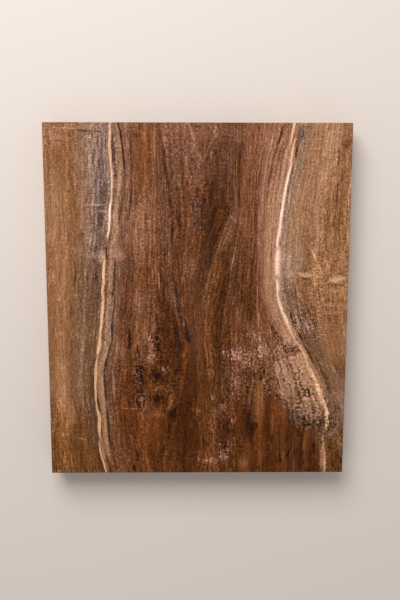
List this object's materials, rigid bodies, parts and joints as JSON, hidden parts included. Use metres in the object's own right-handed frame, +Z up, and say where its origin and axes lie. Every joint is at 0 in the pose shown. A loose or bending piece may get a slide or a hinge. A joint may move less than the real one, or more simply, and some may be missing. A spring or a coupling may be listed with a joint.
{
  "type": "walnut board",
  "caption": "Wide flat walnut board with square sawn edges, eased arrises and a figured heartwood face between two pale sapwood streaks.",
  "frame": {"origin": "middle of the face that the board rests on", "axes": "+Z up out of the show face, +Y along the grain towards the head end, +X across the grain towards the right-hand edge"},
  "size_m": [0.33, 0.39, 0.038],
  "materials": {
    "walnut": "dressed and sanded, unfinished"
  },
  "bodies": {
    "root": {"board": "walnut"}
  },
  "joints": []
}
